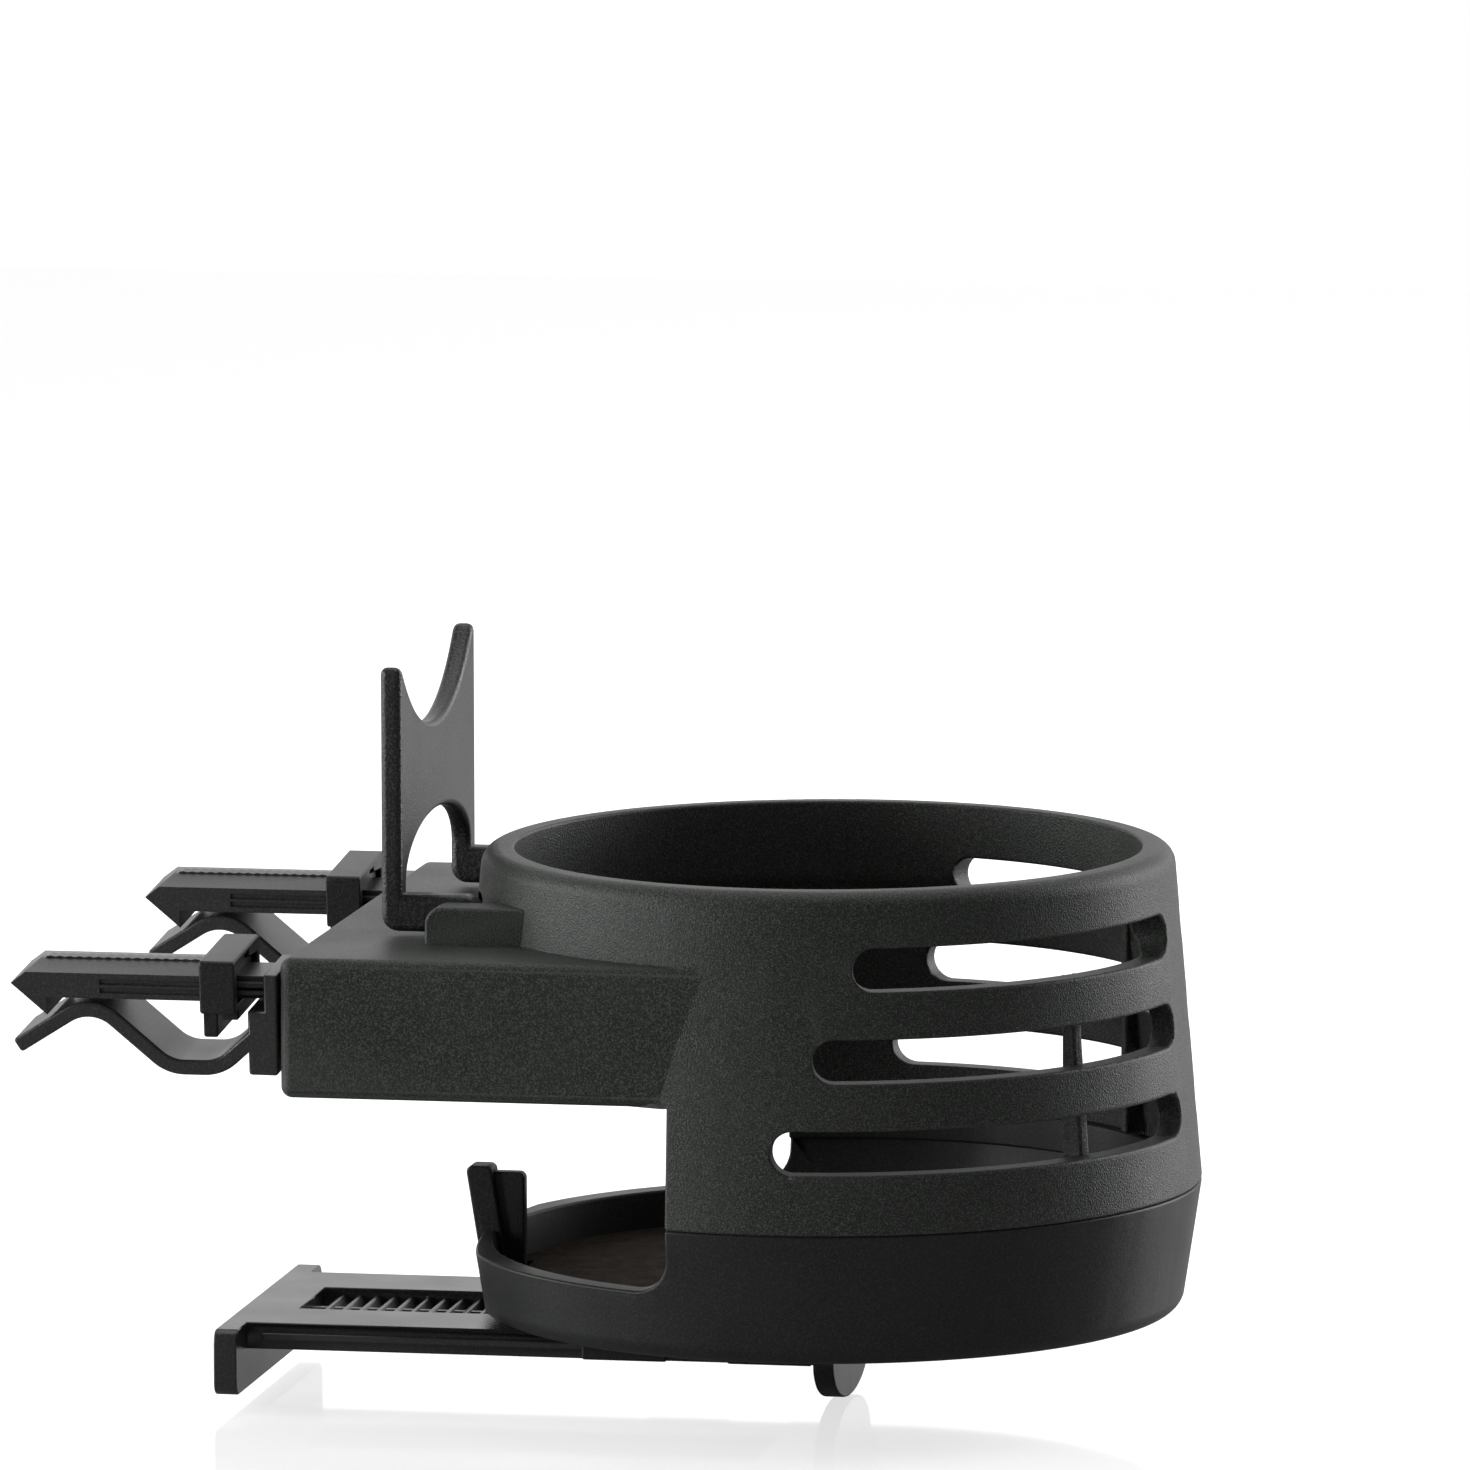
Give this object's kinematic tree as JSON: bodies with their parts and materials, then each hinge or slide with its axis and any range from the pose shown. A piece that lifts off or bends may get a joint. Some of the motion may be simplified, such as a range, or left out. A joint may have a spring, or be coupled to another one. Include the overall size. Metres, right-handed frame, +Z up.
{
  "type": "car cup holder",
  "caption": "Round slotted cup holder on a hollow arm with swivelling vent clips, a folding bottle flap and a pull-out support foot.",
  "frame": {"origin": "centre of the cup's opening, in the plane of its rim", "axes": "+Z up, out of the cup; +X from the vent clips to the cup; +Y to the right hand of someone who faces the vent"},
  "size_m": [0.1389, 0.0918, 0.0919],
  "materials": {
    "shell_plastic": "fine pebble grain, charcoal black",
    "cover_plastic": "fine grain, black",
    "tray_plastic": "satin, black",
    "foot_plastic": "satin, black",
    "flap_plastic": "satin with fine grain, black",
    "clip_plastic": "satin, black",
    "blade_plastic": "satin, black",
    "collar_plastic": "satin, black",
    "mat_felt": "short brown-black fibres",
    "screw_steel": "zinc plated",
    "pin_steel": "plain drawn steel",
    "spring_steel": "plain spring steel"
  },
  "bodies": {
    "holder": {"cup_shell": "shell_plastic", "arm_cover": "cover_plastic", "cover_screws": "screw_steel", "base_tray": "tray_plastic", "base_mat": "mat_felt", "latch_leaf": "spring_steel"},
    "flap": {"bottle_flap": "flap_plastic", "flap_pins": "pin_steel"},
    "foot": {"support_foot": "foot_plastic"},
    "left_clip": {"left_clip_base": "clip_plastic", "left_clip_blade": "blade_plastic", "left_clip_cone_washer": "spring_steel", "left_clip_washer": "spring_steel", "left_clip_screw": "screw_steel"},
    "right_clip": {"right_clip_base": "clip_plastic", "right_clip_blade": "blade_plastic", "right_clip_cone_washer": "spring_steel", "right_clip_washer": "spring_steel", "right_clip_screw": "screw_steel"},
    "left_collar": {"left_clip_collar": "collar_plastic"},
    "right_collar": {"right_clip_collar": "collar_plastic"}
  },
  "joints": [
    {"name": "flap_hinge", "type": "hinge", "parent": "holder", "child": "flap", "pos_m": [-0.0412, 0, -0.0065], "axis": [0, 1, 0], "range_deg": [0, 90]},
    {"name": "foot_slide", "type": "slide", "parent": "holder", "child": "foot", "axis": [1, 0, 0], "range_m": [-0.008, 0.026]},
    {"name": "left_clip_swivel", "type": "hinge", "parent": "holder", "child": "left_clip", "pos_m": [-0.05975, -0.0365, -0.01755], "axis": [1, 0, 0], "range_deg": [-90, 90]},
    {"name": "right_clip_swivel", "type": "hinge", "parent": "holder", "child": "right_clip", "pos_m": [-0.05975, 0.0365, -0.01755], "axis": [1, 0, 0], "range_deg": [-90, 90]},
    {"name": "left_collar_slide", "type": "slide", "parent": "left_clip", "child": "left_collar", "axis": [1, 0, 0], "range_m": [-0.0065, 0]},
    {"name": "right_collar_slide", "type": "slide", "parent": "right_clip", "child": "right_collar", "axis": [1, 0, 0], "range_m": [-0.0065, 0]}
  ]
}
